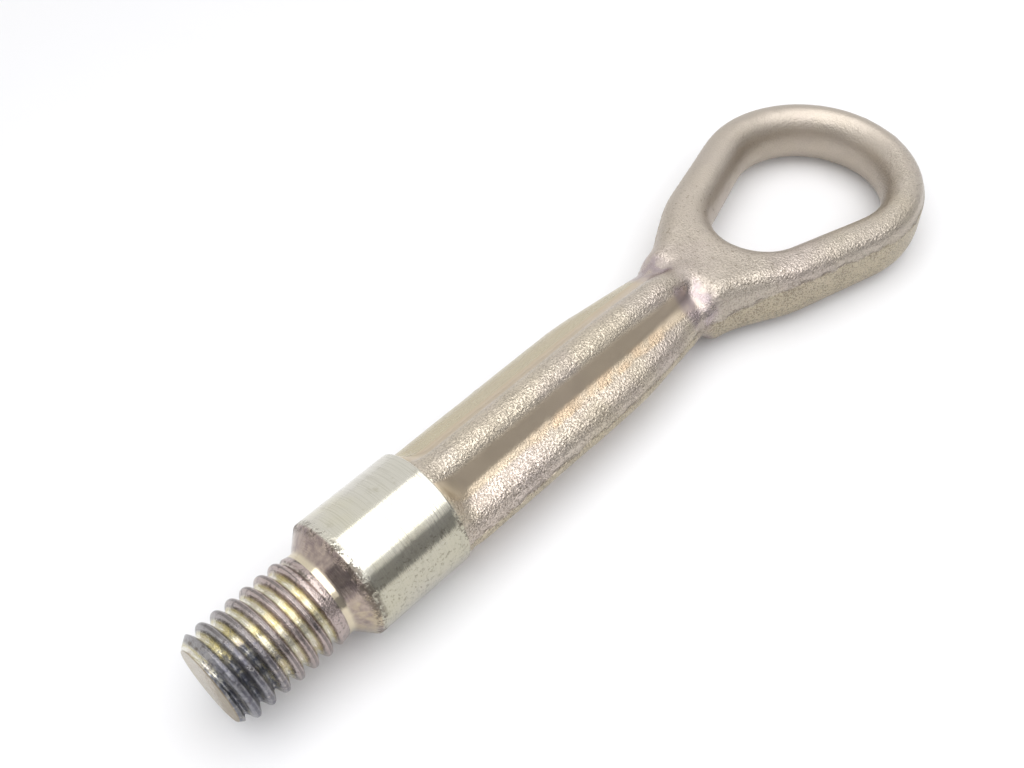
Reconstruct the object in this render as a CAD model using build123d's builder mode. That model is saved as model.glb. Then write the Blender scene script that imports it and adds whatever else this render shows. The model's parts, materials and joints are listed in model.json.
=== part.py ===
import os
from math import ceil, cos, pi, radians, sin, sqrt, tan

from build123d import *

# A screw-in tow eye, drop forged in one piece, in millimetres.
# The X axis is the axis of the screw and runs from the thread to the eye. Z is square to the eye.
# The origin lies on the axis, where the cone of the shoulder would meet the collar in a sharp edge.

# Thread, rolled and right-handed, with broad round crests
thread_diameter = 18.0
thread_pitch = 3.0
thread_depth = 1.8
thread_length = 22.5            # tip face to the neck
thread_crest_breadth = 1.6      # 1 makes crest and groove alike, and more makes the crest broader
thread_start = 0.64             # from the tip face to the groove, along the top
thread_fade_length = 2.6        # over which the last groove runs out into the neck
tip_diameter = 14.7
tip_lead_length = 2.2           # chamfer at the tip

# Neck, cone and collar
neck_diameter = 16.8
neck_length = 1.2
neck_fillet = 1.0
cone_angle = 45.0
collar_diameter = 23.6
collar_length = 20.2
collar_front_round = 0.8
collar_back_round = 0.4

# Shank, a cross of a rib above and below and a flange at each side
land_diameter = 21.6            # round land behind the collar
land_length = 0.3
pocket_run_length = 3.0         # hollow wall between the land and each pocket
pocket_run_depth = 4.6
flange_reach = 10.65            # axis to the trimmed edge, at the collar
flange_waist_reach = 11.15      # at the start of the taper
flange_neck_reach = 8.1         # at the end of the taper
flange_end_reach = 7.2          # inside the boss
flange_edge_height = 2.7        # half the thickness at the waist
flange_root_height = 4.5        # half the thickness at the foot of the rib
flange_widening_length = 44.7   # collar to the start of the taper
flange_taper_gap = 1.1          # end of the taper to the boss
rib_height = 10.5               # axis to the crest, before rounding
rib_crest_fall = 1.0            # from the crest to its shoulder
rib_shoulder_reach = 1.9        # half widths of the rib
rib_foot_reach = 4.6
rib_crest_round = 3.0
rib_foot_round = 3.0
rib_neck_height = 9.6           # at the end of the taper
rib_fall_length = 9.0           # over which the rib sinks into the boss
rib_fall_round = 14.0
rib_end_height = 5.4

# Eye, a pear-shaped ring with a boss at its neck, measured on the parting plane
eye_thickness = 13.5
eye_side_radius = 19.8          # arc of the outline towards the neck
eye_side_reach = 116.0          # origin to the centre of that arc
eye_end_radius = 24.9           # arc of the far end
eye_end_distance = 18.0         # from centre to centre of the two arcs
eye_crown_reach = 4.4           # over which the outside rounds to the flat top
eye_crown_power = 2.3           # 2 is an ellipse, and more is squarer
hole_side_radius = 9.9          # arcs of the hole
hole_side_shift = 0.9           # from the centres of the outline's arcs
hole_end_radius = 15.6
hole_end_shift = 1.1
hole_crown_reach = 3.2
hole_crown_power = 3.0
boss_width = 18.4
boss_front_reach = 87.0
boss_flare_radius = 18.0

# How finely the sections follow one another
THREAD_STEPS = 6                # stations in one pitch
THREAD_POINTS = 20              # points round the thread
CROWN_STEPS = (0, 0.35, 0.6, 0.78, 0.9, 0.97, 1)  # shares of the height of the eye's rounding
SINK = 0.5                      # how far one form reaches into the next
SEAM = 0.05                     # by which the end of the thread stands over the neck


def mix(start, end, share):
    return start + (end - start) * share


def smooth_step(share):
    share = min(max(share, 0), 1)
    return share * share * (3 - 2 * share)


def thread_reach(x, angle):
    """Radius of the thread, at an angle from the top that turns with the thread."""
    turn = (x - tip_x - thread_start) / thread_pitch - angle / (2 * pi)
    groove = thread_depth * (0.5 + 0.5 * cos(2 * pi * turn)) ** thread_crest_breadth
    lead = mix(tip_diameter / 2, thread_radius, (x - tip_x) / tip_lead_length)
    fade = smooth_step((x - neck_x + thread_fade_length) / thread_fade_length)
    return mix(min(thread_radius - groove, lead), neck_radius + SEAM, fade)


def thread_section(x, inset=0):
    """The thread's section square to the axis, as a closed ring of points."""
    angles = [2 * pi * step / THREAD_POINTS for step in range(THREAD_POINTS)]
    reaches = [thread_reach(x, angle) - inset for angle in angles]
    return [(-reach * sin(angle), reach * cos(angle)) for reach, angle in zip(reaches, angles)]


def crown_inset(share, reach, power):
    """How far the eye's section has drawn in, at a share of its height."""
    return reach * (1 - (1 - share**power) ** (1 / power))


def touch_points(end_radius, end_reach, side_radius, side_reach):
    """Where the straight line beside two circles on the X axis touches the end one and the side one."""
    lean = (end_radius - side_radius) / (end_reach - side_reach)
    rise = sqrt(1 - lean * lean)
    end_touch = Vector(end_reach - end_radius * lean, end_radius * rise)
    side_touch = Vector(side_reach - side_radius * lean, side_radius * rise)
    return end_touch, side_touch


def across(point):
    return Vector(point.X, -point.Y)


def eye_outline(inset):
    """Outside of the eye and its boss, drawn in by an inset."""
    end_radius = eye_end_radius - inset
    side_radius = eye_side_radius - inset
    flare_radius = boss_flare_radius + inset
    boss_reach = boss_width / 2 - inset
    end_touch, side_touch = touch_points(end_radius, eye_end_reach, side_radius, eye_side_reach)
    flare_run = sqrt((side_radius + flare_radius) ** 2 - (boss_reach + flare_radius) ** 2)
    flare_foot = Vector(eye_side_reach - flare_run, boss_reach)
    flare_share = side_radius / (side_radius + flare_radius)
    flare_touch = Vector(eye_side_reach - flare_run * flare_share, (boss_reach + flare_radius) * flare_share)
    front = Vector(boss_front_reach + inset, boss_reach)
    Polyline(flare_foot, front, across(front), across(flare_foot))
    flare = TangentArc(across(flare_foot), across(flare_touch), tangent=(1, 0))
    TangentArc(across(flare_touch), across(side_touch), tangent=flare % 1)
    Line(across(side_touch), across(end_touch))
    ThreePointArc(across(end_touch), (eye_end_reach + end_radius, 0), end_touch)
    side = Line(end_touch, side_touch)
    bend = TangentArc(side_touch, flare_touch, tangent=side % 1)
    TangentArc(flare_touch, flare_foot, tangent=bend % 1)


def hole_outline(inset):
    """Wall of the hole, opened by an inset."""
    end_radius = hole_end_radius + inset
    side_radius = hole_side_radius + inset
    end_touch, side_touch = touch_points(end_radius, hole_end_reach, side_radius, hole_side_reach)
    Line(across(side_touch), across(end_touch))
    ThreePointArc(across(end_touch), (hole_end_reach + end_radius, 0), end_touch)
    Line(end_touch, side_touch)
    ThreePointArc(side_touch, (hole_side_reach - side_radius, 0), across(side_touch))


os.makedirs("parts", exist_ok=True)

thread_radius = thread_diameter / 2
neck_radius = neck_diameter / 2
collar_radius = collar_diameter / 2
cone_length = (collar_radius - neck_radius) / tan(radians(cone_angle))
neck_x = -cone_length - neck_length
tip_x = neck_x - thread_length
land_end = collar_length + land_length
taper_start = collar_length + flange_widening_length
taper_end = boss_front_reach - flange_taper_gap
rib_end = taper_end + rib_fall_length
land_radius = land_diameter / 2
eye_end_reach = eye_side_reach + eye_end_distance
hole_side_reach = eye_side_reach + hole_side_shift
hole_end_reach = eye_end_reach + hole_end_shift

with BuildPart() as thread:
    count = ceil(thread_length / thread_pitch * THREAD_STEPS)
    for step in range(count + 1):
        x = mix(tip_x, neck_x, step / count)
        with BuildSketch(Plane.YZ.offset(x)):
            with BuildLine():
                Spline(*thread_section(x), periodic=True)
            make_face()
    with BuildSketch(Plane.YZ.offset(neck_x + SINK)):
        with BuildLine():
            Spline(*thread_section(neck_x, inset=SINK), periodic=True)
        make_face()
    loft(ruled=True)

with BuildPart() as collar:
    with BuildSketch():
        with BuildLine():
            Polyline(
                (neck_x, 0),
                (neck_x, neck_radius),
                (-cone_length, neck_radius),
                (0, collar_radius),
                (collar_length, collar_radius),
                (collar_length, 0),
                close=True,
            )
        make_face()
    revolve(axis=Axis.X)
    rings = collar.edges().filter_by(GeomType.CIRCLE).sort_by(Axis.X)
    fillet(rings[1], neck_fillet)
    rings = collar.edges().filter_by(GeomType.CIRCLE).sort_by(Axis.X)
    fillet(rings[-2], collar_front_round)
    rings = collar.edges().filter_by(GeomType.CIRCLE).sort_by(Axis.X)
    fillet(rings[-1], collar_back_round)

with BuildPart() as shank:
    # The cross, one quarter of it drawn, along the whole shank
    flange_slope = (flange_root_height - flange_edge_height) / (flange_waist_reach - rib_foot_reach)
    trim_reach = flange_waist_reach + SINK
    with BuildSketch(Plane.YZ.offset(collar_length - SINK)) as cross:
        with BuildLine():
            Polyline(
                (0, 0),
                (trim_reach, 0),
                (trim_reach, flange_edge_height - flange_slope * SINK),
                (rib_foot_reach, flange_root_height),
                (rib_shoulder_reach, rib_height - rib_crest_fall),
                (0, rib_height),
                close=True,
            )
        make_face()
        mirror(about=Plane.YZ)
        mirror(about=Plane.XZ)
        fillet(cross.vertices().filter_by(lambda v: abs(v.X) < SINK), rib_crest_round)
        feet = cross.vertices().filter_by(lambda v: abs(abs(v.X) - rib_foot_reach) < SINK)
        fillet(feet, rib_foot_round)
    extrude(amount=rib_end - collar_length + SINK)
    # Its outline from above, with the taper towards the neck
    with BuildSketch():
        with BuildLine():
            edge = [
                Vector(collar_length - SINK, flange_reach),
                Vector(taper_start, flange_waist_reach),
                Vector(taper_end, flange_neck_reach),
                Vector(rib_end, flange_end_reach),
            ]
            Polyline(*edge, *[across(point) for point in reversed(edge)], close=True)
        make_face()
    extrude(amount=collar_radius, both=True, mode=Mode.INTERSECT)
    # Its outline from the side, with the rib sinking into the boss
    with BuildSketch(Plane.XZ) as side_view:
        with BuildLine():
            crest = [
                Vector(collar_length - SINK, rib_height + SINK),
                Vector(taper_start, rib_height),
                Vector(taper_end, rib_neck_height),
                Vector(rib_end, rib_end_height),
            ]
            Polyline(*crest, *[across(point) for point in reversed(crest)], close=True)
        make_face()
        bends = side_view.vertices().filter_by(lambda v: abs(v.X - taper_end) < SINK)
        fillet(bends, rib_fall_round)
    extrude(amount=collar_radius, both=True, mode=Mode.INTERSECT)
    # Hollow wall from the land down into the pockets
    with BuildSketch():
        with BuildLine():
            Polyline(
                (land_end + pocket_run_length, land_radius - pocket_run_depth),
                (land_end + pocket_run_length, 0),
                (collar_length - SINK, 0),
                (collar_length - SINK, land_radius),
                (land_end, land_radius),
            )
            EllipticalCenterArc(
                (land_end + pocket_run_length, land_radius),
                pocket_run_length,
                pocket_run_depth,
                start_angle=180,
                arc_size=90,
            )
        make_face()
    revolve(axis=Axis.X)

with BuildPart() as eye:
    # The upper half, from the parting plane to the flat top
    for share in CROWN_STEPS:
        with BuildSketch(Plane.XY.offset(share * eye_thickness / 2)):
            with BuildLine():
                eye_outline(crown_inset(share, eye_crown_reach, eye_crown_power))
            make_face()
    loft(ruled=True)
    for share in CROWN_STEPS:
        with BuildSketch(Plane.XY.offset(share * eye_thickness / 2)):
            with BuildLine():
                hole_outline(crown_inset(share, hole_crown_reach, hole_crown_power))
            make_face()
    loft(ruled=True, mode=Mode.SUBTRACT)
    mirror(about=Plane.XY)

with BuildPart() as tow_eye:
    add(collar.part)
    add(thread.part)
    add(shank.part)
    add(eye.part)

tow_eye.part.label = "tow_eye"
export_step(tow_eye.part, "parts/tow_eye.step")
print("volume", round(tow_eye.part.volume), "mm3,", len(tow_eye.part.solids()), "solid")
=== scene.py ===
# %% [markdown]
# # A forged tow eye
# A screw-in tow eye is one drop forging: a rolled thread, a turned collar, a cross-shaped shank and a
# pear-shaped ring. It is zinc plated and yellow passivated, so the steel shows gold, pink and lilac tints.
# The solid model gives the size and place of everything. This lesson makes the skin that the eye sees.

# %% Load the solid model
import json
import math

import bmesh
import bpy
import numpy as np
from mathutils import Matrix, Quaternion, Vector


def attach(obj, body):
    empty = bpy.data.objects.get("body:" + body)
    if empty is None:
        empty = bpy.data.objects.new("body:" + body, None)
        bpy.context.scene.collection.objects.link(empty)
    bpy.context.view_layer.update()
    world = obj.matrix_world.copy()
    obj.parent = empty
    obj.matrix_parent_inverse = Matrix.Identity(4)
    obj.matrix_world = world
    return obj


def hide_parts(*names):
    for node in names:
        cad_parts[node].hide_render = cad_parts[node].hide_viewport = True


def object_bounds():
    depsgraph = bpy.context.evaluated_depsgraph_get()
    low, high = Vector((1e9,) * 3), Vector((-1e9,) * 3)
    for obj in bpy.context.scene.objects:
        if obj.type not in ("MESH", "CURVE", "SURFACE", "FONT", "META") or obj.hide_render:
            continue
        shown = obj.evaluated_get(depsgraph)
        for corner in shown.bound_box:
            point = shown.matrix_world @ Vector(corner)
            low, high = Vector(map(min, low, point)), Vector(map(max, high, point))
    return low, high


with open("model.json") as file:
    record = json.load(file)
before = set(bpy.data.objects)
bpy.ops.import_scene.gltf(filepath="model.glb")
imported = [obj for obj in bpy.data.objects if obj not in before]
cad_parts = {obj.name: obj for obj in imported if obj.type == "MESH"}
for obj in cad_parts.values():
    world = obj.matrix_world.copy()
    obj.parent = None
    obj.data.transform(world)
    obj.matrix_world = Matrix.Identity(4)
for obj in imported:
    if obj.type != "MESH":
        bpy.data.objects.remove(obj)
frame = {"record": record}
cad_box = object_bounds()
MM = 0.001
CAD_NODE = "tow_eye"


def in_mm(corner):
    return [round(v / MM, 1) for v in corner]


print("solid model from", in_mm(cad_box[0]), "to", in_mm(cad_box[1]), "mm")


# %% [markdown]
# ## Small helpers for node trees
# Geometry Nodes and shaders are both trees of nodes. `place` adds one node, sets its options, and fills its
# inputs with either a plain value or a link from another node. `calc` is the same for one step of arithmetic.

# %% Node helpers
def fill(tree, socket, value):
    if isinstance(value, bpy.types.NodeSocket):
        tree.links.new(value, socket)
    else:
        socket.default_value = value


def place(tree, kind, inputs=None, **options):
    node = tree.nodes.new(kind)
    for name, value in options.items():
        setattr(node, name, value)
    for key, value in (inputs or {}).items():
        fill(tree, node.inputs[key], value)
    return node


def calc(tree, operation, *values, clamp=False):
    node = place(tree, "ShaderNodeMath", dict(enumerate(values)), operation=operation, use_clamp=clamp)
    return node.outputs[0]


def ramp(tree, value, low, high):
    """0 at low, 1 at high, with a soft start and end. low may be the larger one."""
    inputs = {"Value": value, "From Min": low, "From Max": high, "To Min": 0.0, "To Max": 1.0}
    return place(tree, "ShaderNodeMapRange", inputs, interpolation_type="SMOOTHSTEP").outputs["Result"]


def stretch(tree, vector, factors):
    """The vector with each axis multiplied by a factor of its own."""
    inputs = {0: vector, 1: factors}
    return place(tree, "ShaderNodeVectorMath", inputs, operation="MULTIPLY").outputs[0]


def mix_colour(tree, share, first, second):
    node = place(tree, "ShaderNodeMix", data_type="RGBA")
    fill(tree, node.inputs["Factor"], share)
    fill(tree, node.inputs[6], first)
    fill(tree, node.inputs[7], second)
    return node.outputs[2]


def window(tree, value, low, high, soft):
    """1 between low and high, fading to 0 over the soft distance outside them."""
    return calc(tree, "MULTIPLY", ramp(tree, value, low - soft, low), ramp(tree, value, high + soft, high))


def times(tree, *masks):
    """Masks multiplied with each other."""
    product = masks[0]
    for mask in masks[1:]:
        product = calc(tree, "MULTIPLY", product, mask)
    return product


def add_sockets(tree, direction, sockets):
    for name, (kind, value) in sockets.items():
        socket = tree.interface.new_socket(name, in_out=direction, socket_type="NodeSocket" + kind)
        if value is not None:
            socket.default_value = value


print("node helpers are ready")


# %% [markdown]
# ## Materials
# The three finishes of the part share two effects, so each effect is a shader node group. *Passivation* is
# the thin film on the zinc: patches of gold and lilac over warm grey. *Blasted grain* is the fine pitting
# that shot blasting leaves on forged skin. Both are given Object coordinates in millimetres, so scales are
# per millimetre.

# %% Passivation and blasted grain, two shader groups
PATCH_SHIFT = (310.0, 170.0, 50.0)


def noise(tree, vector, scale, detail=2.0, roughness=0.5):
    inputs = {"Vector": vector, "Scale": scale, "Detail": detail, "Roughness": roughness}
    return place(tree, "ShaderNodeTexNoise", inputs).outputs["Fac"]


def shader_group(name, inputs, outputs):
    tree = bpy.data.node_groups.new(name, "ShaderNodeTree")
    add_sockets(tree, "INPUT", inputs)
    add_sockets(tree, "OUTPUT", outputs)
    return tree, tree.nodes.new("NodeGroupInput").outputs, tree.nodes.new("NodeGroupOutput").inputs


def make_passivation():
    tree, given, out = shader_group(
        "passivation",
        {
            "Vector": ("Vector", None),
            "Steel": ("Color", (0.6, 0.54, 0.46, 1)),
            "Gold": ("Color", (0.62, 0.54, 0.34, 1)),
            "Lilac": ("Color", (0.6, 0.5, 0.56, 1)),
            "Patch Scale": ("Float", 0.06),
            "Gold Share": ("Float", 0.5),
            "Lilac Share": ("Float", 0.3),
        },
        {"Color": ("Color", None)},
    )
    broad = noise(tree, given["Vector"], given["Patch Scale"], 3.0, 0.55)
    shifted = place(tree, "ShaderNodeVectorMath", {0: given["Vector"], 1: PATCH_SHIFT}, operation="ADD")
    other = noise(tree, shifted.outputs[0], given["Patch Scale"], 3.0, 0.55)
    gold = calc(tree, "MULTIPLY", ramp(tree, broad, 0.42, 0.62), given["Gold Share"])
    lilac = calc(tree, "MULTIPLY", ramp(tree, other, 0.48, 0.66), given["Lilac Share"])
    warm = mix_colour(tree, gold, given["Steel"], given["Gold"])
    fill(tree, out["Color"], mix_colour(tree, lilac, warm, given["Lilac"]))
    return tree


def make_blasted_grain():
    tree, given, out = shader_group(
        "blasted grain",
        {
            "Vector": ("Vector", None),
            "Grain Scale": ("Float", 2.2),
            "Speck Scale": ("Float", 3.0),
            "Patch Scale": ("Float", 0.25),
        },
        {"Height": ("Float", None), "Specks": ("Float", None)},
    )
    grain = noise(tree, given["Vector"], given["Grain Scale"], 1.5, 0.5)
    holes = noise(tree, given["Vector"], given["Speck Scale"], 1.0, 0.5)
    patches = noise(tree, given["Vector"], given["Patch Scale"], 2.0, 0.5)
    holes = calc(tree, "ADD", holes, calc(tree, "MULTIPLY_ADD", patches, 0.3, -0.15))
    specks = ramp(tree, holes, 0.48, 0.62)
    fill(tree, out["Height"], calc(tree, "MULTIPLY_ADD", specks, -0.35, grain))
    fill(tree, out["Specks"], specks)
    return tree


passivation = make_passivation()
blasted_grain = make_blasted_grain()
print("shader groups:", passivation.name, "and", blasted_grain.name)


# %% [markdown]
# ## The three finishes
# Each material keeps its Principled BSDF to itself. Bare metal is fully metallic, so what it reflects makes
# most of its look, and the base colour only tints that.

# %% Materials
RIM_INSET = "rim_inset"
TRIM_ON_SHANK, TRIM_ON_RING, TRIM_RISE = 0.4, 3.3, (94, 106)


def new_material(name):
    """A bare-metal material, with Object coordinates in millimetres as a vector and as single axes."""
    material = bpy.data.materials.new(name)
    material.use_nodes = True
    tree = material.node_tree
    shader = tree.nodes["Principled BSDF"]
    shader.inputs["Metallic"].default_value = 1.0
    metres = tree.nodes.new("ShaderNodeTexCoord").outputs["Object"]
    where = place(tree, "ShaderNodeVectorMath", {0: metres, "Scale": 1 / MM}, operation="SCALE").outputs[0]
    return material, tree, shader, where, place(tree, "ShaderNodeSeparateXYZ", {0: where}).outputs


def use_group(tree, group, inputs):
    node = place(tree, "ShaderNodeGroup", node_tree=group)
    for name, value in inputs.items():
        fill(tree, node.inputs[name], value)
    return node.outputs


def bump(tree, height, distance):
    inputs = {"Height": height, "Distance": distance, "Strength": 1.0}
    return place(tree, "ShaderNodeBump", inputs).outputs["Normal"]


def blasted_forging():
    material, tree, shader, where, axes = new_material("blasted_forging")
    tint = use_group(tree, passivation, {
        "Vector": where, "Patch Scale": 0.05, "Gold Share": 0.5, "Lilac Share": 0.4,
        "Steel": (0.55, 0.49, 0.42, 1), "Gold": (0.57, 0.50, 0.38, 1), "Lilac": (0.57, 0.485, 0.47, 1)})
    aside = calc(tree, "ABSOLUTE", axes["Y"])
    on_shank = ramp(tree, axes["X"], 90, 85)
    rib_top = times(tree, ramp(tree, aside, 3.8, 2.4), on_shank)
    near_flange = times(tree, ramp(tree, axes["Y"], -5.2, -6.8), on_shank)
    flank = times(tree, window(tree, aside, 3.6, 6.4, 0.8), on_shank)
    far_flange = times(tree, ramp(tree, axes["Y"], 5.4, 6.6), on_shank)
    boss = window(tree, axes["X"], 90, 102, 8)
    rim = place(tree, "ShaderNodeAttribute", attribute_name=RIM_INSET).outputs["Fac"]
    land = times(tree, window(tree, axes["X"], 20, 23.6, 1.8), ramp(tree, rim, 0.6, 2.0))
    land = times(tree, land, ramp(tree, aside, 3.0, 5.0))
    ring = ramp(tree, axes["X"], 88, 96)
    near_limb = times(tree, ring, ramp(tree, axes["Y"], -5, -12))
    outer = ramp(tree, rim, 1.8, 0.9)
    wobble = calc(tree, "MULTIPLY_ADD", noise(tree, where, 0.3, 4.0, 0.65), 2.0, -1.0)
    rise = ramp(tree, axes["X"], *TRIM_RISE)
    trim = calc(tree, "MULTIPLY_ADD", rise, TRIM_ON_RING - TRIM_ON_SHANK, TRIM_ON_SHANK)
    over_trim = calc(tree, "SUBTRACT", calc(tree, "ADD", axes["Z"], wobble), trim)
    broken = ramp(tree, noise(tree, where, 0.35, 3.0), 0.35, 0.65)
    crease = times(tree, outer, ramp(tree, calc(tree, "ABSOLUTE", over_trim), 0.4, 0.0), broken)
    under = times(tree, outer, ramp(tree, over_trim, 0.2, -0.5))
    kink = times(tree, window(tree, axes["X"], 85.5, 90.5, 2.0), window(tree, aside, 3.0, 9.0, 1.5))
    skin = calc(tree, "MULTIPLY_ADD", rib_top, 0.75, 0.25)
    for mask, share in ((kink, -0.4), (flank, -0.22), (near_flange, 0.6), (boss, 0.4), (near_limb, 0.55)):
        skin = calc(tree, "MULTIPLY_ADD", mask, share, skin)
    skin = calc(tree, "MULTIPLY_ADD", under, 0.4, skin, clamp=True)

    gold = calc(tree, "MAXIMUM", times(tree, far_flange, 0.7), land)
    # The ring gets a duller, darker tone of its own. It is held back on the near limb, so that lighter limb
    # is a painted highlight.
    ring_tone_and_limb_highlight = calc(tree, "MULTIPLY_ADD", near_limb, -0.35, times(tree, ring, 0.55))
    colour = mix_colour(tree, ring_tone_and_limb_highlight, tint["Color"], (0.44, 0.39, 0.34, 1))
    colour = mix_colour(tree, gold, colour, (0.57, 0.51, 0.365, 1))
    colour = mix_colour(tree, times(tree, under, 0.7), colour, (0.50, 0.435, 0.305, 1))
    blush = times(tree, window(tree, axes["X"], 25, 38, 10), ramp(tree, axes["Y"], -5.5, -7.5), 0.5)
    blush = times(tree, blush, calc(tree, "SUBTRACT", 1.0, under))
    colour = mix_colour(tree, blush, colour, (0.63, 0.54, 0.51, 1))
    colour = mix_colour(tree, times(tree, flank, 0.75), colour, (0.57, 0.47, 0.345, 1))
    hue = noise(tree, where, 0.32, 1.0)
    glint = times(tree, window(tree, axes["Y"], -7.0, -5.8, 0.8), window(tree, axes["X"], 46, 74, 8))
    glint = times(tree, glint, ramp(tree, hue, 0.35, 0.6))
    colour = mix_colour(tree, glint, colour, (0.60, 0.47, 0.335, 1))
    # Dark lilac where the shank meets the boss: partly lilac film, partly painted shade in that corner.
    lilac_film_and_shade = mix_colour(tree, ramp(tree, hue, 0.38, 0.6), (0.33, 0.265, 0.31, 1), (0.50, 0.43, 0.40, 1))
    colour = mix_colour(tree, times(tree, kink, 0.6), colour, lilac_film_and_shade)
    edge = calc(tree, "MAXIMUM", times(tree, on_shank, ramp(tree, axes["Y"], -8.4, -10.0)), under)
    pitted = calc(tree, "MULTIPLY_ADD", edge, 0.3, 0.38)
    grain = use_group(tree, blasted_grain, {"Vector": where})
    colour = mix_colour(tree, times(tree, grain["Specks"], skin, pitted), colour, (0.20, 0.165, 0.125, 1))
    pits = ramp(tree, noise(tree, where, 1.3, 2.0, 0.6), 0.6, 0.68)
    pits = times(tree, pits, window(tree, axes["X"], 92, 112, 8), 0.5)
    colour = mix_colour(tree, pits, colour, (0.22, 0.185, 0.14, 1))
    # The dark line along the flash-trim crease is painted shade.
    colour = mix_colour(tree, times(tree, crease, 0.5), colour, (0.17, 0.14, 0.11, 1))
    fill(tree, shader.inputs["Base Color"], colour)
    rough = calc(tree, "MULTIPLY_ADD", noise(tree, where, 0.16), 0.1, 0.19)
    for mask, share in ((ring, 0.18), (near_limb, -0.17), (flank, 0.12), (skin, 0.06)):
        rough = calc(tree, "MULTIPLY_ADD", mask, share, rough)
    fill(tree, shader.inputs["Roughness"], rough)
    height = calc(tree, "MULTIPLY_ADD", crease, -1.0, times(tree, grain["Height"], skin))
    fill(tree, shader.inputs["Normal"], bump(tree, height, 0.22 * MM))
    return material


def turned_collar():
    material, tree, shader, where, axes = new_material("turned_collar")
    tint = use_group(tree, passivation, {
        "Vector": where, "Patch Scale": 0.07, "Gold Share": 0.6, "Lilac Share": 0.15,
        "Steel": (0.62, 0.60, 0.53, 1), "Gold": (0.62, 0.59, 0.45, 1), "Lilac": (0.57, 0.54, 0.53, 1)})
    low_side = times(tree, ramp(tree, axes["Y"], -6.0, -9.5), ramp(tree, axes["Z"], 9.5, 6.5))
    cloud = noise(tree, where, 0.3, 4.0, 0.65)
    clouds = times(tree, ramp(tree, cloud, 0.56, 0.72), 0.35)
    # Darker olive over the lower near side of the collar: the cloudy part is tarnish, and the even darkening
    # of that side is painted shade.
    tarnish_and_painted_shade = calc(tree, "MULTIPLY_ADD", low_side, 0.45, clouds, clamp=True)
    colour = mix_colour(tree, tarnish_and_painted_shade, tint["Color"], (0.37, 0.345, 0.26, 1))
    freckles = times(tree, ramp(tree, noise(tree, where, 1.5, 4.0, 0.75), 0.52, 0.64), low_side, 0.6)
    colour = mix_colour(tree, freckles, colour, (0.17, 0.155, 0.12, 1))
    lines = noise(tree, stretch(tree, where, (4.0, 0.08, 0.08)), 1.0, 3.0, 0.6)
    colour = mix_colour(tree, times(tree, ramp(tree, lines, 0.45, 0.7), 0.3), colour, (0.38, 0.36, 0.30, 1))
    streaks = noise(tree, stretch(tree, where, (0.25, 1.1, 1.1)), 0.7, 4.0, 0.6)
    streaks = ramp(tree, streaks, 0.25, 0.75)
    heat = mix_colour(tree, streaks, (0.235, 0.185, 0.18, 1), (0.45, 0.37, 0.31, 1))
    # Lighter straw gold in patches on the near lower side of the cone: partly a temper tint, partly a painted
    # highlight.
    straw_tint_and_highlight = times(tree, ramp(tree, axes["Y"], -6.5, -9.5), ramp(tree, cloud, 0.4, 0.6), 0.7)
    heat = mix_colour(tree, straw_tint_and_highlight, heat, (0.55, 0.46, 0.31, 1))
    colour = mix_colour(tree, ramp(tree, axes["X"], 0.3, -0.3), colour, heat)
    neck = ramp(tree, axes["X"], -2.9, -3.9)
    colour = mix_colour(tree, times(tree, neck, 0.8), colour, (0.70, 0.62, 0.46, 1))
    clumps = times(tree, noise(tree, where, 0.22, 1.0), 0.7)
    chips = calc(tree, "ADD", noise(tree, where, 1.5, 3.0, 0.7), clumps)
    back_edge = times(tree, ramp(tree, axes["X"], 19.0, 19.8), low_side)
    edges = calc(tree, "MAXIMUM", window(tree, axes["X"], -0.2, 0.4, 1.2), back_edge)
    scuff = times(tree, edges, ramp(tree, chips, 0.78, 0.96))
    colour = mix_colour(tree, times(tree, scuff, 0.85), colour, (0.15, 0.125, 0.10, 1))
    fill(tree, shader.inputs["Base Color"], colour)
    rough = calc(tree, "MULTIPLY_ADD", lines, 0.12, 0.08)
    fill(tree, shader.inputs["Roughness"], calc(tree, "MULTIPLY_ADD", scuff, 0.25, rough))
    height = calc(tree, "MULTIPLY_ADD", scuff, -1.5, lines)
    fill(tree, shader.inputs["Normal"], bump(tree, height, 0.07 * MM))
    return material


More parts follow.
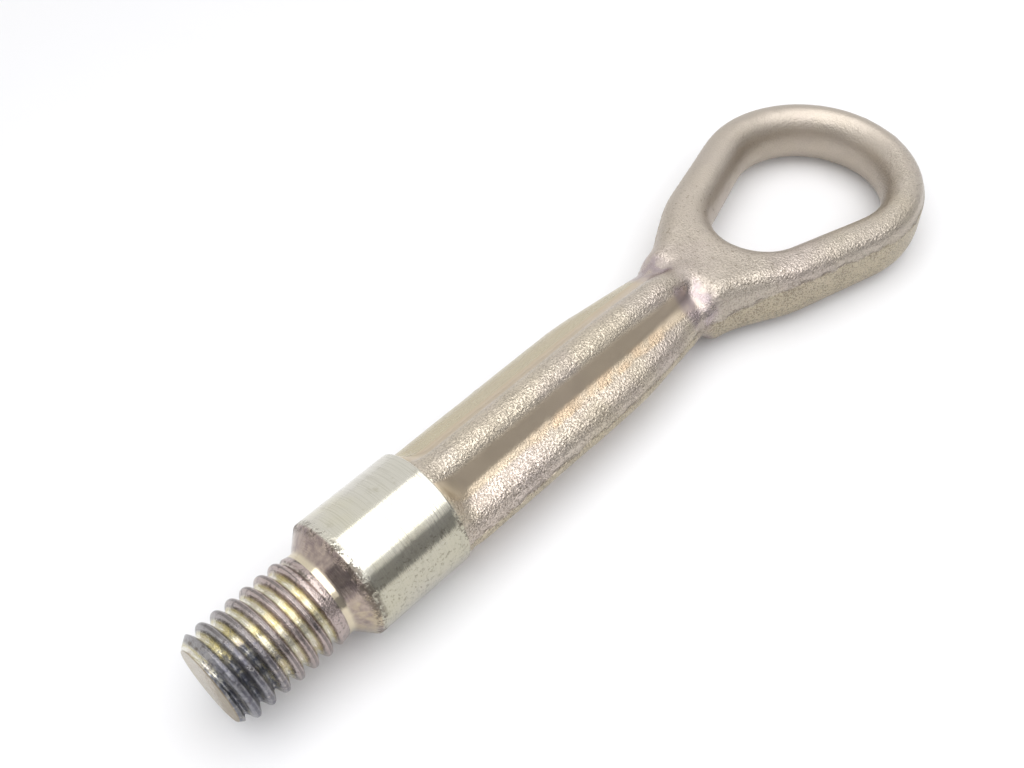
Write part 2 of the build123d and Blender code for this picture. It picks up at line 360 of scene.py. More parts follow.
def rolled_thread():
    material, tree, shader, where, axes = new_material("rolled_thread")
    squares = [times(tree, axes[name], axes[name]) for name in "YZ"]
    reach = calc(tree, "SQRT", calc(tree, "ADD", *squares))
    valley = ramp(tree, reach, 8.4, 7.6)
    seam = ramp(tree, reach, 8.955, 8.985)
    tip_side = ramp(tree, axes["X"], -11, -24)
    low_side = ramp(tree, axes["Y"], 3, -6)
    mottle = calc(tree, "MULTIPLY_ADD", noise(tree, where, 0.7, 5.0, 0.7), 2.4, -1.2)
    tint = use_group(tree, passivation, {
        "Vector": where, "Patch Scale": 0.25, "Gold Share": 0.9, "Lilac Share": 0.3,
        "Steel": (0.76, 0.74, 0.66, 1), "Gold": (0.70, 0.65, 0.46, 1), "Lilac": (0.62, 0.53, 0.50, 1)})
    worn = noise(tree, where, 0.9, 4.0, 0.7)
    crest = mix_colour(tree, tip_side, (0.45, 0.375, 0.35, 1), (0.32, 0.31, 0.31, 1))
    crest = mix_colour(tree, ramp(tree, worn, 0.5, 0.7), crest, (0.16, 0.14, 0.135, 1))
    rim_line = times(tree, window(tree, reach, 7.75, 8.05, 0.2), ramp(tree, worn, 0.36, 0.5), 0.6)
    groove = mix_colour(tree, rim_line, tint["Color"], (0.55, 0.48, 0.16, 1))
    colour = mix_colour(tree, valley, crest, groove)
    flank_line = times(tree, window(tree, reach, 8.25, 8.4, 0.12), ramp(tree, worn, 0.42, 0.55), 0.6)
    colour = mix_colour(tree, flank_line, colour, (0.14, 0.12, 0.09, 1))
    colour = mix_colour(tree, times(tree, seam, 0.6), colour, (0.10, 0.09, 0.09, 1))
    patchy = ramp(tree, noise(tree, where, 1.1, 4.0, 0.7), 0.44, 0.66)
    smear = mix_colour(tree, patchy, (0.08, 0.09, 0.14, 1), (0.33, 0.33, 0.35, 1))
    grease = calc(tree, "ADD", times(tree, tip_side, calc(tree, "MULTIPLY_ADD", low_side, 0.75, 0.2)), mottle)
    grease = times(tree, ramp(tree, grease, 0.35, 0.85), calc(tree, "MULTIPLY_ADD", valley, 0.5, 0.5))
    colour = mix_colour(tree, times(tree, grease, 0.88), colour, smear)
    face = ramp(tree, axes["X"], -26.8, -27.0)
    colour = mix_colour(tree, times(tree, face, 0.8), colour, (0.34, 0.28, 0.19, 1))
    fill(tree, shader.inputs["Base Color"], colour)
    fill(tree, shader.inputs["Roughness"], calc(tree, "MULTIPLY_ADD", grease, 0.2, 0.24))
    grain = use_group(tree, blasted_grain, {"Vector": where, "Grain Scale": 1.6})
    fill(tree, shader.inputs["Normal"], bump(tree, grain["Height"], 0.06 * MM))
    return material


finishes = {make.__name__: make() for make in (blasted_forging, turned_collar, rolled_thread)}
print("materials:", ", ".join(finishes))


# %% [markdown]
# ## The screw end
# The thread is rolled and the collar is turned, so both follow a rule: a radius for each place along the
# axis and each angle round it. That suits Geometry Nodes. The outline is drawn once as a line of points, and
# the tree wraps a grid round the axis, gives each row the radius of its point, and sinks the groove by a
# formula.

# %% Outline of the screw end
thread = frame["record"]["mounts"][0]["dims"]
collar = frame["record"]["mounts"][1]["dims"]
THREAD_RADIUS = thread["r_mm"] * MM
COLLAR_RADIUS = collar["r_mm"] * MM
PITCH = 3.0 * MM
TIP_X = cad_box[0][0]
TIP_RADIUS = 7.35 * MM
LEAD_LENGTH = 2.2 * MM
NECK_RADIUS = 8.4 * MM
CONE_X = NECK_RADIUS - COLLAR_RADIUS
THREAD_END_X = TIP_X + thread["length_mm"] * MM
FADE_LENGTH = 2.6 * MM
COLLAR_END_X = 20.2 * MM
WELD = 0.001 * MM


def rounded_line(corners, spacing):
    """Points along a line whose corners are rounded. A corner is (x, radius, rounding)."""
    points = [Vector(corners[0][:2])]
    for before, corner, after in zip(corners, corners[1:], corners[2:]):
        here = Vector(corner[:2])
        back = (Vector(before[:2]) - here).normalized()
        ahead = (Vector(after[:2]) - here).normalized()
        half = back.angle(ahead) / 2
        reach = corner[2] / math.tan(half)
        steps = 6 if reach else 0
        start, end = here + back * reach, here + ahead * reach
        for step in range(steps + 1):
            share = step / max(steps, 1)
            points.append(start.lerp(here, share).lerp(here.lerp(end, share), share))
    points.append(Vector(corners[-1][:2]))
    line = points[:1]
    for end in points[1:]:
        start = line[-1]
        fine = start.x < THREAD_END_X and start.y > TIP_RADIUS / 2
        count = max(1, math.ceil((end - start).length / (spacing if fine else 6 * spacing)))
        line += [start.lerp(end, step / count) for step in range(1, count + 1)]
    return line


corners = [
    (TIP_X, 0, 0),
    (TIP_X, TIP_RADIUS, 0.3 * MM),
    (TIP_X + LEAD_LENGTH, THREAD_RADIUS, 0.6 * MM),
    (THREAD_END_X - FADE_LENGTH, THREAD_RADIUS, 0.6 * MM),
    (THREAD_END_X, NECK_RADIUS, 0.6 * MM),
    (CONE_X, NECK_RADIUS, 1.0 * MM),
    (0, COLLAR_RADIUS, 0.7 * MM),
    (COLLAR_END_X, COLLAR_RADIUS, 0.35 * MM),
    (COLLAR_END_X, 0, 0),
]
outline = rounded_line(corners, 0.2 * MM)
outline = outline[:1] + [end for start, end in zip(outline, outline[1:]) if (end - start).length > WELD]
line_mesh = bpy.data.meshes.new("screw_outline")
links = [(i, i + 1) for i in range(len(outline) - 1)]
line_mesh.from_pydata([(x, radius, 0) for x, radius in outline], links, [])
print("outline of the screw end:", len(outline), "points")


# %% Geometry Nodes tree that turns the outline and rolls the thread
def make_screw_tree():
    tree = bpy.data.node_groups.new("turn_and_roll", "GeometryNodeTree")
    add_sockets(tree, "INPUT", {
        "Geometry": ("Geometry", None),
        "Segments": ("Int", 144),
        "Pitch": ("Float", PITCH),
        "Groove Depth": ("Float", 1.8 * MM),
        "Crest Breadth": ("Float", 1.6),
        "Groove Start": ("Float", TIP_X + 0.64 * MM),
        "Thread End": ("Float", THREAD_END_X),
        "Fade Length": ("Float", FADE_LENGTH),
        "Thread Radius": ("Float", THREAD_RADIUS),
    })
    add_sockets(tree, "OUTPUT", {"Geometry": ("Geometry", None)})
    given = tree.nodes.new("NodeGroupInput").outputs
    out = tree.nodes.new("NodeGroupOutput").inputs
    rows = place(tree, "GeometryNodeAttributeDomainSize", {0: given["Geometry"]}).outputs["Point Count"]
    grid = place(tree, "GeometryNodeMeshGrid", {
        "Size X": 1.0, "Size Y": 1.0, "Vertices X": rows, "Vertices Y": given["Segments"]}).outputs["Mesh"]
    position = tree.nodes.new("GeometryNodeInputPosition").outputs[0]
    spot = place(tree, "ShaderNodeSeparateXYZ", {0: position}).outputs
    row = calc(tree, "MULTIPLY", calc(tree, "ADD", spot["X"], 0.5), calc(tree, "SUBTRACT", rows, 1.0))
    row = place(tree, "FunctionNodeFloatToInt", {0: row}, rounding_mode="ROUND").outputs[0]
    sample = place(tree, "GeometryNodeSampleIndex", data_type="FLOAT_VECTOR", domain="POINT")
    fill(tree, sample.inputs["Geometry"], given["Geometry"])
    fill(tree, sample.inputs["Value"], position)
    fill(tree, sample.inputs["Index"], row)
    line = place(tree, "ShaderNodeSeparateXYZ", {0: sample.outputs[0]}).outputs
    along, reach = line["X"], line["Y"]
    share = calc(tree, "ADD", spot["Y"], 0.5)
    turn = calc(tree, "DIVIDE", calc(tree, "SUBTRACT", along, given["Groove Start"]), given["Pitch"])
    turn = calc(tree, "SUBTRACT", turn, share)
    wave = calc(tree, "COSINE", calc(tree, "MULTIPLY", turn, 2 * math.pi))
    wave = calc(tree, "POWER", calc(tree, "MULTIPLY_ADD", wave, 0.5, 0.5), given["Crest Breadth"])
    fade_start = calc(tree, "SUBTRACT", given["Thread End"], given["Fade Length"])
    fade = ramp(tree, along, given["Thread End"], fade_start)
    groove = calc(tree, "MULTIPLY", calc(tree, "MULTIPLY", wave, given["Groove Depth"]), fade)
    threaded = calc(tree, "SUBTRACT", given["Thread Radius"], groove)
    threaded = calc(tree, "MINIMUM", reach, threaded)
    is_thread = calc(tree, "LESS_THAN", along, given["Thread End"])
    step = calc(tree, "SUBTRACT", threaded, reach)
    radius = calc(tree, "MULTIPLY_ADD", step, is_thread, reach)
    angle = calc(tree, "MULTIPLY", share, 2 * math.pi)
    across = calc(tree, "MULTIPLY", calc(tree, "MULTIPLY", radius, calc(tree, "SINE", angle)), -1.0)
    height = calc(tree, "MULTIPLY", radius, calc(tree, "COSINE", angle))
    wrapped = place(tree, "ShaderNodeCombineXYZ", {0: along, 1: across, 2: height}).outputs[0]
    moved = place(tree, "GeometryNodeSetPosition", {"Geometry": grid, "Position": wrapped}).outputs[0]
    closed = place(tree, "GeometryNodeMergeByDistance", {"Geometry": moved, "Distance": WELD}).outputs[0]
    real = place(tree, "GeometryNodeRealizeInstances", {"Geometry": closed}).outputs[0]
    turned = place(tree, "GeometryNodeSetMaterial", {"Geometry": real, "Material": finishes["turned_collar"]})
    inputs = {0: spot["X"], 1: given["Thread End"]}
    on_thread = place(tree, "FunctionNodeCompare", inputs, operation="LESS_THAN").outputs[0]
    rolled = place(tree, "GeometryNodeSetMaterial", {
        "Geometry": turned.outputs[0], "Selection": on_thread, "Material": finishes["rolled_thread"]})
    fill(tree, out["Geometry"], rolled.outputs[0])
    return tree


def link_object(name, mesh):
    made = bpy.data.objects.new(name, mesh)
    bpy.context.scene.collection.objects.link(made)
    return made


def evaluated_mesh(source):
    """The plain mesh that an object's modifiers give. The modifiers are then removed."""
    graph = bpy.context.evaluated_depsgraph_get()
    mesh = bpy.data.meshes.new_from_object(source.evaluated_get(graph))
    source.modifiers.clear()
    return mesh


def face_outwards(mesh):
    bm = bmesh.new()
    bm.from_mesh(mesh)
    bmesh.ops.remove_doubles(bm, verts=bm.verts, dist=WELD)
    bmesh.ops.recalc_face_normals(bm, faces=bm.faces)
    volume = bm.calc_volume(signed=True)
    if volume < 0:
        bmesh.ops.reverse_faces(bm, faces=bm.faces)
    open_edges = sum(not edge.is_manifold for edge in bm.edges)
    bm.to_mesh(mesh)
    bm.free()
    return abs(volume) / MM**3, open_edges


screw = link_object("screw_end", line_mesh)
screw.modifiers.new("turn_and_roll", "NODES").node_group = make_screw_tree()
screw.data = evaluated_mesh(screw)
print("screw end: %.0f mm3, %d open edges" % face_outwards(screw.data), len(screw.data.polygons), "faces")


# %% [markdown]
# ## The forging
# The shank and the ring have soft, flowing edges, because hot steel never fills a die's corners. Such forms
# are easy to write as a *field*: a function that is negative inside the steel and positive outside it.
# Simple fields are joined with a fillet of any radius, and the surface is found where the field is zero. All
# sizes here are in millimetres. Left and right are alike, and the lower half of the ring is a little fuller
# than the upper one.

# %% Fields for the simple forms
def between(start, end, share):
    return start + (end - start) * share


def ease(value, low, high):
    """0 at low, 1 at high, with a soft start and end."""
    share = np.clip((value - low) / (high - low), 0, 1)
    return share * share * (3 - 2 * share)


def bend(value, start, softness):
    """0 before the start and rising by 1 in 1 after it, with a soft bend."""
    return (value - start + np.hypot(value - start, softness)) / 2


def two_circles(across, along, near_radius, far_radius, distance):
    """Distance to the hull of two circles, the near one at zero and the far one along the second axis."""
    lean = (near_radius - far_radius) / distance
    rise = np.sqrt(1 - lean * lean)
    across = np.abs(across)
    side = along * rise - across * lean
    near = np.hypot(across, along) - near_radius
    far = np.hypot(across, along - distance) - far_radius
    straight = across * rise + along * lean - near_radius
    return np.where(side < 0, near, np.where(side > rise * distance, far, straight))


def join(first, second, fillet):
    """Both forms, with a fillet where they meet."""
    hollow = np.hypot(np.maximum(fillet - first, 0), np.maximum(fillet - second, 0))
    return np.maximum(fillet, np.minimum(first, second)) - hollow


def meet(first, second, rounding):
    """Only what both forms share, with a rounded edge where they meet."""
    return -join(-first, -second, rounding)


print("field helpers are ready")


# %% Shank: a round-topped rib above and below, and a rounded flange at each side
COLLAR_END = COLLAR_END_X / MM
SHANK_WAIST, SHANK_NECK = 66.5, 85.9
RIB_HEIGHT, RIB_NECK_HEIGHT, RIB_LEAN = 10.3, 9.7, 0.60
RIB_CREST, RIB_NECK_CREST = 4.0, 3.2
RIB_SINK_START, RIB_SINK_END, RIB_SUNK_HEIGHT = 82.0, 100.0, 4.0
FLANGE_CENTRE, FLANGE_RADIUS, FLANGE_DROP, FLANGE_TRIM = 6.8, 5.1, 0.66, 11.4
FLANGE_AT_COLLAR, FLANGE_WIDENING, FLANGE_TAPER, FLANGE_BEND = 0.12, 0.006, 0.14, 4.0
TRIM_LEDGE, LEDGE_START, LEDGE_FULL = 0.35, 0.5, 4.0
VALLEY_FILLET = 1.6


def below_trim(x, z):
    """1 below the line where the flash was trimmed off, 0 above it."""
    trim = between(TRIM_ON_SHANK, TRIM_ON_RING, ease(x, *TRIM_RISE))
    return ease(z, trim + 0.25, trim - 0.25)


def shank_field(x, y, z, below):
    height = between(RIB_HEIGHT, RIB_NECK_HEIGHT, ease(x, SHANK_WAIST, SHANK_NECK))
    height = between(height, RIB_SUNK_HEIGHT, ease(x, RIB_SINK_START, RIB_SINK_END))
    crest = between(RIB_CREST, RIB_NECK_CREST, ease(x, SHANK_WAIST, SHANK_NECK))
    centre = np.maximum(height - crest, 0.1)
    rib = two_circles(y, z, crest + RIB_LEAN * centre, crest, centre)
    wider = FLANGE_AT_COLLAR + FLANGE_WIDENING * (x - COLLAR_END)
    wider = wider - FLANGE_TAPER * bend(x, SHANK_WAIST, FLANGE_BEND)
    wider = wider + TRIM_LEDGE * below * ease(x, COLLAR_END + LEDGE_START, COLLAR_END + LEDGE_FULL)
    flange = np.hypot(np.maximum(y - FLANGE_CENTRE - wider, 0), z + FLANGE_DROP) - FLANGE_RADIUS
    flange = np.maximum(flange, y - FLANGE_TRIM - wider)
    return np.maximum(join(rib, flange, VALLEY_FILLET), x - RIB_SINK_END - 2)


print("shank runs from", COLLAR_END, "to", RIB_SINK_END, "mm")


# %% Land: the round end wall of the pockets behind the collar
LAND_RADIUS, LAND_LENGTH, LAND_RUN, LAND_DEPTH = 10.8, 0.6, 6.0, 4.8


def land_field(x, y, z):
    share = np.clip((x - COLLAR_END - LAND_LENGTH) / LAND_RUN, 0, 1)
    radius = LAND_RADIUS - LAND_DEPTH * share
    return np.maximum(np.hypot(y, z) - radius, x - COLLAR_END - LAND_LENGTH - LAND_RUN)


print("land is", LAND_LENGTH + LAND_RUN, "mm long")


# %% Ring and boss: a pear-shaped outline with a pear-shaped hole, crowned on both walls
RING_HALF = 6.75
RING_NEAR, RING_NEAR_RADIUS, RING_FAR, RING_FAR_RADIUS = 116.0, 19.8, 134.0, 24.9
HOLE_NEAR, HOLE_NEAR_RADIUS, HOLE_FAR, HOLE_FAR_RADIUS = 116.9, 9.9, 135.1, 15.6
BOSS_FRONT, BOSS_HALF_WIDTH, BOSS_FLARE, BOSS_CORNER = 88.6, 10.9, 8.0, 3.0
UPPER_INSET, UPPER_CROWN, UPPER_POWER = 0.6, 4.5, 2.1
LOWER_INSET, LOWER_CROWN, LOWER_POWER, LOWER_WALL = 0.2, 3.2, 2.4, 1.5
HOLE_CROWN, HOLE_POWER = 5.0, 2.1


def crowned(inset, rise, crown, power):
    """A wall that rounds over to a flat top. inset is measured in from the outline, rise is 1 at the top."""
    side = np.maximum(1 - inset / crown, 0) ** power
    return ((side + rise**power) ** (1 / power) - 1) * crown


def outline_field(x, y):
    pear = two_circles(y, x - RING_NEAR, RING_NEAR_RADIUS, RING_FAR_RADIUS, RING_FAR - RING_NEAR)
    boss = np.maximum(y - BOSS_HALF_WIDTH, x - RING_NEAR)
    return meet(join(pear, boss, BOSS_FLARE), BOSS_FRONT - x, BOSS_CORNER)


def hole_field(x, y):
    return two_circles(y, x - HOLE_NEAR, HOLE_NEAR_RADIUS, HOLE_FAR_RADIUS, HOLE_FAR - HOLE_NEAR)


def ring_field(x, y, z, below):
    outline = outline_field(x, y)
    trim = between(TRIM_ON_SHANK, TRIM_ON_RING, ease(x, *TRIM_RISE))
    above_share = np.maximum(z - trim, 0) / (RING_HALF - trim)
    below_share = np.maximum(-z - LOWER_WALL, 0) / (RING_HALF - LOWER_WALL)
    upper = crowned(-outline - UPPER_INSET, above_share, UPPER_CROWN, UPPER_POWER)
    lower = crowned(-outline - LOWER_INSET, below_share, LOWER_CROWN, LOWER_POWER)
    inner = crowned(hole_field(x, y), np.abs(z) / RING_HALF, HOLE_CROWN, HOLE_POWER)
    return np.maximum(between(upper, lower, below), inner)


print("ring is", 2 * RING_FAR_RADIUS, "mm wide and", 2 * RING_HALF, "mm thick")


# %% The whole forging
ROOT_START = COLLAR_END - 2.5
BOSS_FILLET, LAND_FILLET = 2.2, 1.6


def forging_field(x, y, z):
    y, below = np.abs(y), below_trim(x, z)
    shank = join(shank_field(x, y, np.abs(z), below), land_field(x, y, z), LAND_FILLET)
    whole = join(shank, ring_field(x, y, z, below), BOSS_FILLET)
    return np.maximum(np.maximum(whole, ROOT_START - x), -hole_field(x, y))


print("forging runs from", ROOT_START, "to", RING_FAR + RING_FAR_RADIUS, "mm")


# %% [markdown]
# ## From field to mesh
# The field is measured at the corners of a fine grid of cells. Each cell that the surface passes through
# gets one point, at the mean of where the surface crosses its edges, and four cells round a crossed edge
# share one face. The points then slide down the field until they lie on the surface.

# %% Surface of a field
CELL = 0.48


def field_mesh(field, low, high):
    axes = [np.arange(start, end, CELL) for start, end in zip(low, high)]
    values = field(*np.meshgrid(*axes, indexing="ij", sparse=True))
    inside = values < 0
    shape = np.array(values.shape)
    corners = [np.array([c & 1, c >> 1 & 1, c >> 2 & 1]) for c in range(8)]
    shifted = [inside[tuple(slice(o, n - 1 + o) for o, n in zip(c, shape))] for c in corners]
    filled = sum(corner.astype(np.int8) for corner in shifted)
    cells = np.argwhere((filled > 0) & (filled < 8))
    number = np.full(shape - 1, -1)
    number[tuple(cells.T)] = np.arange(len(cells))
    total, count = np.zeros((len(cells), 3)), np.zeros((len(cells), 1))
    for start in corners:
        for axis in range(3):
            if start[axis]:
                continue
            end = start.copy()
            end[axis] = 1
            first, second = values[tuple((cells + start).T)], values[tuple((cells + end).T)]
            crossed = (first < 0) != (second < 0)
            share = np.where(crossed, first / np.where(crossed, first - second, 1), 0)
            total += (cells + start + share[:, None] * (end - start)) * crossed[:, None]
            count += crossed[:, None]
    points = total / count * CELL + np.array(low)
    faces = []
    for axis in range(3):
        one, two = (axis + 1) % 3, (axis + 2) % 3
        ahead = [slice(None)] * 3
        ahead[axis] = slice(1, None)
        behind = [slice(None)] * 3
        behind[axis] = slice(None, -1)
        crossing = inside[tuple(behind)] != inside[tuple(ahead)]
        edges = np.argwhere(crossing)
        edges = edges[(edges[:, one] > 0) & (edges[:, two] > 0)]
        leaving = inside[tuple(edges.T)]
        ring = []
        for step_one, step_two in ((1, 1), (0, 1), (0, 0), (1, 0)):
            cell = edges.copy()
            cell[:, one] -= step_one
            cell[:, two] -= step_two
            ring.append(number[tuple(cell.T)])
        quads = np.stack(ring, axis=1)
        faces.append(np.where(leaving[:, None], quads[:, ::-1], quads))
    return points, np.concatenate(faces)


def settle(points, field, rounds=3, probe=0.02):
    """Slide points down the field until they lie where it is zero."""
    for _ in range(rounds):
        here = field(*points.T)
        slope = np.empty_like(points)
        for axis in range(3):
            moved = points.copy()
            moved[:, axis] += probe
            slope[:, axis] = (field(*moved.T) - here) / probe
        steep = np.maximum((slope**2).sum(axis=1), 0.2)
        points = points - slope * np.clip(here / steep, -CELL, CELL)[:, None]
    return points


print("the field is measured every", CELL, "mm")


# %% [markdown]
# ## Hammered skin
# A die wears and scale is pressed into the hot steel, so a forging is never quite even. The next tree moves
# the surface along its own normal by a slow swell and by shallow dents, with a fixed seed.

# %% Geometry Nodes tree for the skin
def make_skin_tree():
    tree = bpy.data.node_groups.new("forged_skin", "GeometryNodeTree")
    add_sockets(tree, "INPUT", {
        "Geometry": ("Geometry", None),
        "Swell": ("Float", 0.12 * MM),
        "Swell Scale": ("Float", 75.0),
        "Dent Depth": ("Float", 0.06 * MM),
        "Dent Scale": ("Float", 330.0),
        "Seed": ("Float", 3.0),
    })
    add_sockets(tree, "OUTPUT", {"Geometry": ("Geometry", None)})
    given = tree.nodes.new("NodeGroupInput").outputs
    out = tree.nodes.new("NodeGroupOutput").inputs
    heights = []
    for scale in ("Swell Scale", "Dent Scale"):
        pattern = place(tree, "ShaderNodeTexNoise", noise_dimensions="4D")
        fill(tree, pattern.inputs["W"], given["Seed"])
        fill(tree, pattern.inputs["Scale"], given[scale])
        heights.append(pattern.outputs["Fac"])
    swell = calc(tree, "MULTIPLY", calc(tree, "MULTIPLY_ADD", heights[0], 2.0, -1.0), given["Swell"])
    dents = calc(tree, "MULTIPLY", ramp(tree, heights[1], 0.55, 0.72), given["Dent Depth"])
    normal = tree.nodes.new("GeometryNodeInputNormal").outputs[0]
    inputs = {0: normal, "Scale": calc(tree, "SUBTRACT", swell, dents)}
    step = place(tree, "ShaderNodeVectorMath", inputs, operation="SCALE").outputs[0]
    inputs = {"Geometry": given["Geometry"], "Offset": step}
    moved = place(tree, "GeometryNodeSetPosition", inputs).outputs[0]
    real = place(tree, "GeometryNodeRealizeInstances", {"Geometry": moved}).outputs[0]
    done = place(tree, "GeometryNodeSetMaterial", {"Geometry": real, "Material": finishes["blasted_forging"]})
    fill(tree, out["Geometry"], done.outputs[0])
    return tree


skin_tree = make_skin_tree()
print("geometry nodes:", skin_tree.name)


# %% Mesh of the forging
low = (ROOT_START - CELL * 3, -RING_FAR_RADIUS - 1.2, -RIB_HEIGHT - 1.5)
high = (RING_FAR + RING_FAR_RADIUS + 1.2, RING_FAR_RADIUS + 1.2, RIB_HEIGHT + 1.5)
points, faces = field_mesh(forging_field, low, high)
points = settle(points, forging_field)
forging_mesh = bpy.data.meshes.new("forging")
forging_mesh.from_pydata(points * MM, [], faces.tolist())
forging = link_object("forging", forging_mesh)
smooth = forging.modifiers.new("soft_edges", "SMOOTH")
smooth.factor = 0.5
smooth.iterations = 4
forging.modifiers.new("forged_skin", "NODES").node_group = skin_tree
forging.data = evaluated_mesh(forging)
print("forging: %.0f mm3, %d open edges" % face_outwards(forging.data), len(forging.data.polygons), "faces")


# %% [markdown]
# ## One piece of steel
# The real part is one piece, so the screw end and the forging are united into one closed mesh.

# %% Unite
union = screw.modifiers.new("unite", "BOOLEAN")
union.operation = "UNION"
union.solver = "MANIFOLD"
union.material_mode = "TRANSFER"
union.object = forging
eye_mesh = evaluated_mesh(screw)
bpy.data.objects.remove(screw)
bpy.data.objects.remove(forging)
tow_eye = link_object("forged_tow_eye", eye_mesh)
for polygon in eye_mesh.polygons:
    polygon.use_smooth = True
eye_mesh.set_sharp_from_angle(angle=math.radians(50))
spots = np.empty(len(eye_mesh.vertices) * 3)
eye_mesh.vertices.foreach_get("co", spots)
x, y, z = spots.reshape(-1, 3).T / MM
flange_edge = FLANGE_TRIM + FLANGE_AT_COLLAR - FLANGE_TAPER * bend(x, SHANK_WAIST, FLANGE_BEND) - np.abs(y)
rim_inset = np.where(x < BOSS_FRONT, flange_edge, -outline_field(x, np.abs(y)))
eye_mesh.attributes.new(RIM_INSET, "FLOAT", "POINT").data.foreach_set("value", rim_inset)
triangles = sum(len(polygon.vertices) - 2 for polygon in eye_mesh.polygons)
print("tow eye: %.0f mm3, %d open edges" % face_outwards(eye_mesh), triangles, "triangles")
if eye_mesh.materials[0] is None:
    eye_mesh.materials.pop(index=0)
used = [eye_mesh.materials[polygon.material_index].name for polygon in eye_mesh.polygons]
print("faces:", {name: used.count(name) for name in finishes})
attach(tow_eye, "root")
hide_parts(CAD_NODE)


# %% [markdown]
# ## Floor, light and camera
# The part lies on a white table and touches it with the collar and with one more point towards the ring. A
# large soft lamp hangs above it. A grey screen stands behind the camera, so that the metal has something
# darker to reflect than the white table.

# %% Floor
def rest_line(mesh):
    """Height and slope of the table under the part, from the lower outline of its side view."""
    place_of = np.empty(len(mesh.vertices) * 3)
    mesh.vertices.foreach_get("co", place_of)
    spots = place_of.reshape(-1, 3)[:, [0, 2]]
    spots = spots[np.lexsort((spots[:, 1], spots[:, 0]))]
    hull = []
    for x, z in spots:
        while len(hull) > 1:
            (ax, az), (bx, bz) = hull[-2:]
            if (bx - ax) * (z - az) - (bz - az) * (x - ax) > 0:
                break
            hull.pop()
        hull.append((x, z))
    middle = spots[:, 0].mean()
    for (ax, az), (bx, bz) in zip(hull, hull[1:]):
        if ax <= middle <= bx:
            return (ax, az), (bz - az) / (bx - ax)


(touch_x, touch_z), slope = rest_line(eye_mesh)
FLOOR_REACH = 3.0
GLOW_RISE = (0.16, 0.36)
floor_mesh = bpy.data.meshes.new("table")
sides = [(FLOOR_REACH * x, FLOOR_REACH * y) for x, y in ((-1, -1), (1, -1), (1, 1), (-1, 1))]
floor_mesh.from_pydata([(x, y, touch_z + (x - touch_x) * slope) for x, y in sides], [], [(0, 1, 2, 3)])
floor = link_object("table", floor_mesh)
print("table tilts by %.2f degrees" % math.degrees(math.atan(slope)))


def seen_directly(tree):
    """1 for rays that show the background: from the camera, from a reflection or through glass."""
    rays = tree.nodes.new("ShaderNodeLightPath").outputs
    seen = calc(tree, "MAXIMUM", rays["Is Camera Ray"], rays["Is Glossy Ray"])
    return calc(tree, "MAXIMUM", seen, rays["Is Transmission Ray"])


def table_white():
    material = bpy.data.materials.new("table_white")
    material.use_nodes = True
    tree = material.node_tree
    tree.nodes.remove(tree.nodes["Principled BSDF"])
    paint = place(tree, "ShaderNodeBsdfDiffuse", {"Color": (0.93, 0.93, 0.94, 1)}).outputs[0]
    glow = place(tree, "ShaderNodeEmission", {"Color": (1, 1, 1, 1), "Strength": 1.0}).outputs[0]
    spot = tree.nodes.new("ShaderNodeTexCoord").outputs["Object"]
    away = place(tree, "ShaderNodeVectorMath", {0: spot}, operation="LENGTH").outputs["Value"]
    share = calc(tree, "MULTIPLY_ADD", ramp(tree, away, *GLOW_RISE), 0.9, 0.02)
    share = times(tree, seen_directly(tree), share)
    mixed = place(tree, "ShaderNodeMixShader", {0: share, 1: paint, 2: glow}).outputs[0]
    fill(tree, tree.nodes["Material Output"].inputs["Surface"], mixed)
    return material


floor_mesh.materials.append(table_white())

# %% World, lamp and screen
world = bpy.data.worlds.new("white_room")
bpy.context.scene.world = world
world.use_nodes = True
sky = world.node_tree
direction = sky.nodes.new("ShaderNodeTexCoord").outputs["Generated"]
upward = place(sky, "ShaderNodeSeparateXYZ", {0: direction}).outputs["Z"]
room = mix_colour(sky, ramp(sky, upward, 0.12, 0.6), (0.70, 0.70, 0.70, 1), (0.60, 0.60, 0.61, 1))
fill(sky, sky.nodes["Background"].inputs["Color"], mix_colour(sky, seen_directly(sky), room, (1, 1, 1, 1)))

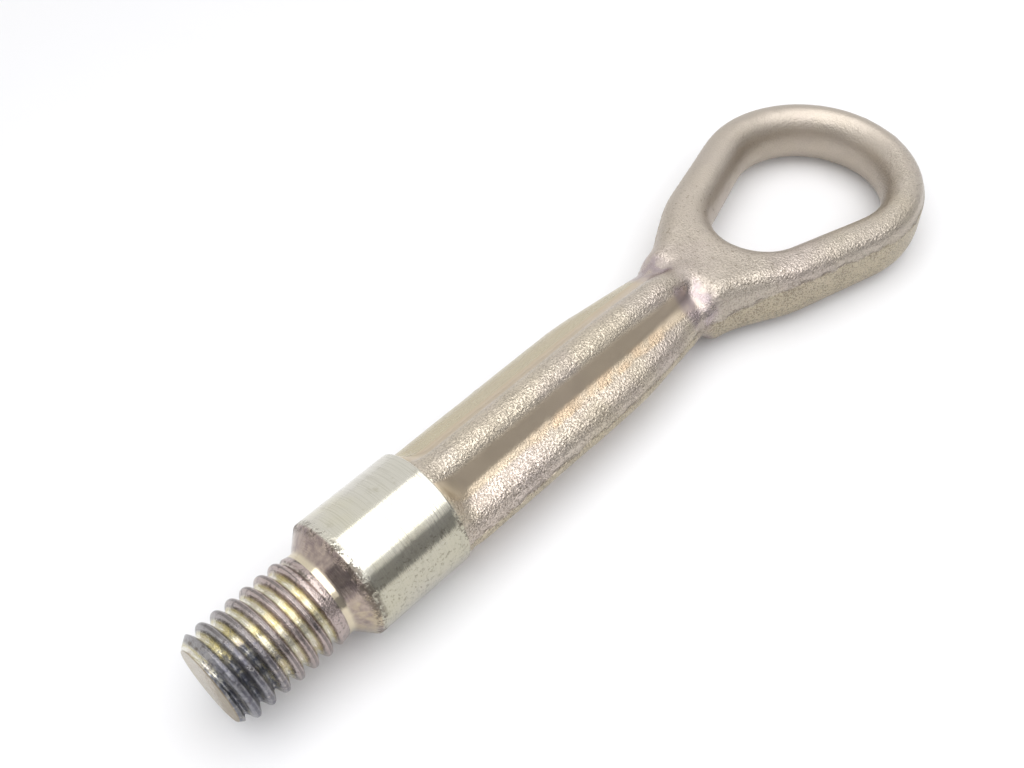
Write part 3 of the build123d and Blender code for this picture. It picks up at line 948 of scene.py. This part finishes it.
lamp_data = bpy.data.lights.new("softbox", "AREA")
lamp_data.shape = "RECTANGLE"
lamp_data.size = 0.70
lamp_data.size_y = 0.66
lamp_data.energy = 2.4
lamp = link_object("softbox", lamp_data)
lamp.location = (0.0, -0.12, 0.45)

SCREEN_RADIUS, SCREEN_LOW, SCREEN_HIGH = 0.7, -0.05, 0.41
SCREEN_START, SCREEN_END, SCREEN_STEPS = math.radians(170), math.radians(345), 30
angles = [between(SCREEN_START, SCREEN_END, step / SCREEN_STEPS) for step in range(SCREEN_STEPS + 1)]
circle = [(SCREEN_RADIUS * math.cos(angle), SCREEN_RADIUS * math.sin(angle)) for angle in angles]
rims = [(x, y, z) for z in (SCREEN_LOW, SCREEN_HIGH) for x, y in circle]
strips = [(i, i + 1, i + SCREEN_STEPS + 2, i + SCREEN_STEPS + 1) for i in range(SCREEN_STEPS)]
screen_mesh = bpy.data.meshes.new("dark_screen")
screen_mesh.from_pydata(rims, [], strips)
screen = link_object("dark_screen", screen_mesh)
screen.visible_camera = False
screen_grey = bpy.data.materials.new("screen_grey")
screen_grey.use_nodes = True
screen_shader = screen_grey.node_tree.nodes["Principled BSDF"]
screen_shader.inputs["Base Color"].default_value = (0.36, 0.36, 0.37, 1)
screen_shader.inputs["Roughness"].default_value = 0.9
screen_mesh.materials.append(screen_grey)
print("lamp of %.1f W, screen at %.1f m" % (lamp_data.energy, SCREEN_RADIUS))

# %% Camera
CAMERA_PLACE = Vector((-49.6, -97.9, 178.5)) * MM
CAMERA_TARGET = Vector((51.0, 8.6, 0.0)) * MM
CAMERA_ROLL = math.radians(-2.63)
camera_data = bpy.data.cameras.new("camera")
camera_data.lens = 42.21
camera_data.clip_start = 0.01
camera = link_object("camera", camera_data)
camera.location = CAMERA_PLACE
look = (CAMERA_TARGET - CAMERA_PLACE).to_track_quat("-Z", "Y")
camera.rotation_euler = (look @ Quaternion((0, 0, 1), CAMERA_ROLL)).to_euler()
bpy.context.scene.camera = camera
bpy.context.scene.view_settings.view_transform = "Standard"
print("camera at", in_mm(CAMERA_PLACE), "mm")
